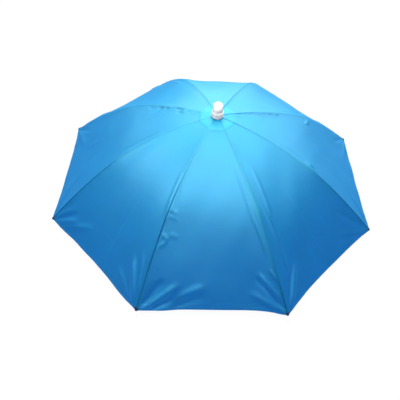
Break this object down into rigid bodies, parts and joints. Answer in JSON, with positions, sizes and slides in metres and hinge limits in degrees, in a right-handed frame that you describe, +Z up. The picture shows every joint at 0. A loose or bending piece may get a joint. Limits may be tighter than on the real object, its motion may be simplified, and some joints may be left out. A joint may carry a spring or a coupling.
{
  "type": "umbrella hat",
  "caption": "Umbrella hat: a folding cloth canopy on metal ribs with a short finial, worn hands-free on an elastic headband hung inside the dome.",
  "frame": {"origin": "centre of the circle of rib tips, on the surface that the hat stands on", "axes": "+Z up through the finial, -Y through the middle of the front panel, +X to the right as seen from the front"},
  "size_m": [0.615, 0.615, 0.198],
  "materials": {
    "canopy_cloth": "coated polyester taffeta, bright blue, satin",
    "white_plastic": "moulded white plastic",
    "rib_steel": "zinc-plated spring steel",
    "headband_elastic": "woven elastic webbing, black"
  },
  "bodies": {
    "root": {"canopy": "canopy_cloth", "top_patch": "canopy_cloth", "finial_collar": "white_plastic", "finial_cap": "white_plastic", "post": "rib_steel", "hub": "white_plastic", "runner": "white_plastic", "headband": "headband_elastic", "inner_rib_1": "rib_steel", "inner_rib_2": "rib_steel", "inner_rib_3": "rib_steel", "inner_rib_4": "rib_steel", "inner_rib_5": "rib_steel", "inner_rib_6": "rib_steel", "inner_rib_7": "rib_steel", "inner_rib_8": "rib_steel", "outer_rib_1": "rib_steel", "outer_rib_2": "rib_steel", "outer_rib_3": "rib_steel", "outer_rib_4": "rib_steel", "outer_rib_5": "rib_steel", "outer_rib_6": "rib_steel", "outer_rib_7": "rib_steel", "outer_rib_8": "rib_steel", "rib_tip_1": "white_plastic", "rib_tip_2": "white_plastic", "rib_tip_3": "white_plastic", "rib_tip_4": "white_plastic", "rib_tip_5": "white_plastic", "rib_tip_6": "white_plastic", "rib_tip_7": "white_plastic", "rib_tip_8": "white_plastic", "stretcher_1": "rib_steel", "stretcher_2": "rib_steel", "stretcher_3": "rib_steel", "stretcher_4": "rib_steel", "stretcher_5": "rib_steel", "stretcher_6": "rib_steel", "stretcher_7": "rib_steel", "stretcher_8": "rib_steel", "band_hanger_1": "headband_elastic", "band_hanger_2": "headband_elastic", "band_hanger_3": "headband_elastic", "band_hanger_4": "headband_elastic", "band_hanger_5": "headband_elastic", "band_hanger_6": "headband_elastic", "band_hanger_7": "headband_elastic", "band_hanger_8": "headband_elastic"}
  },
  "joints": []
}
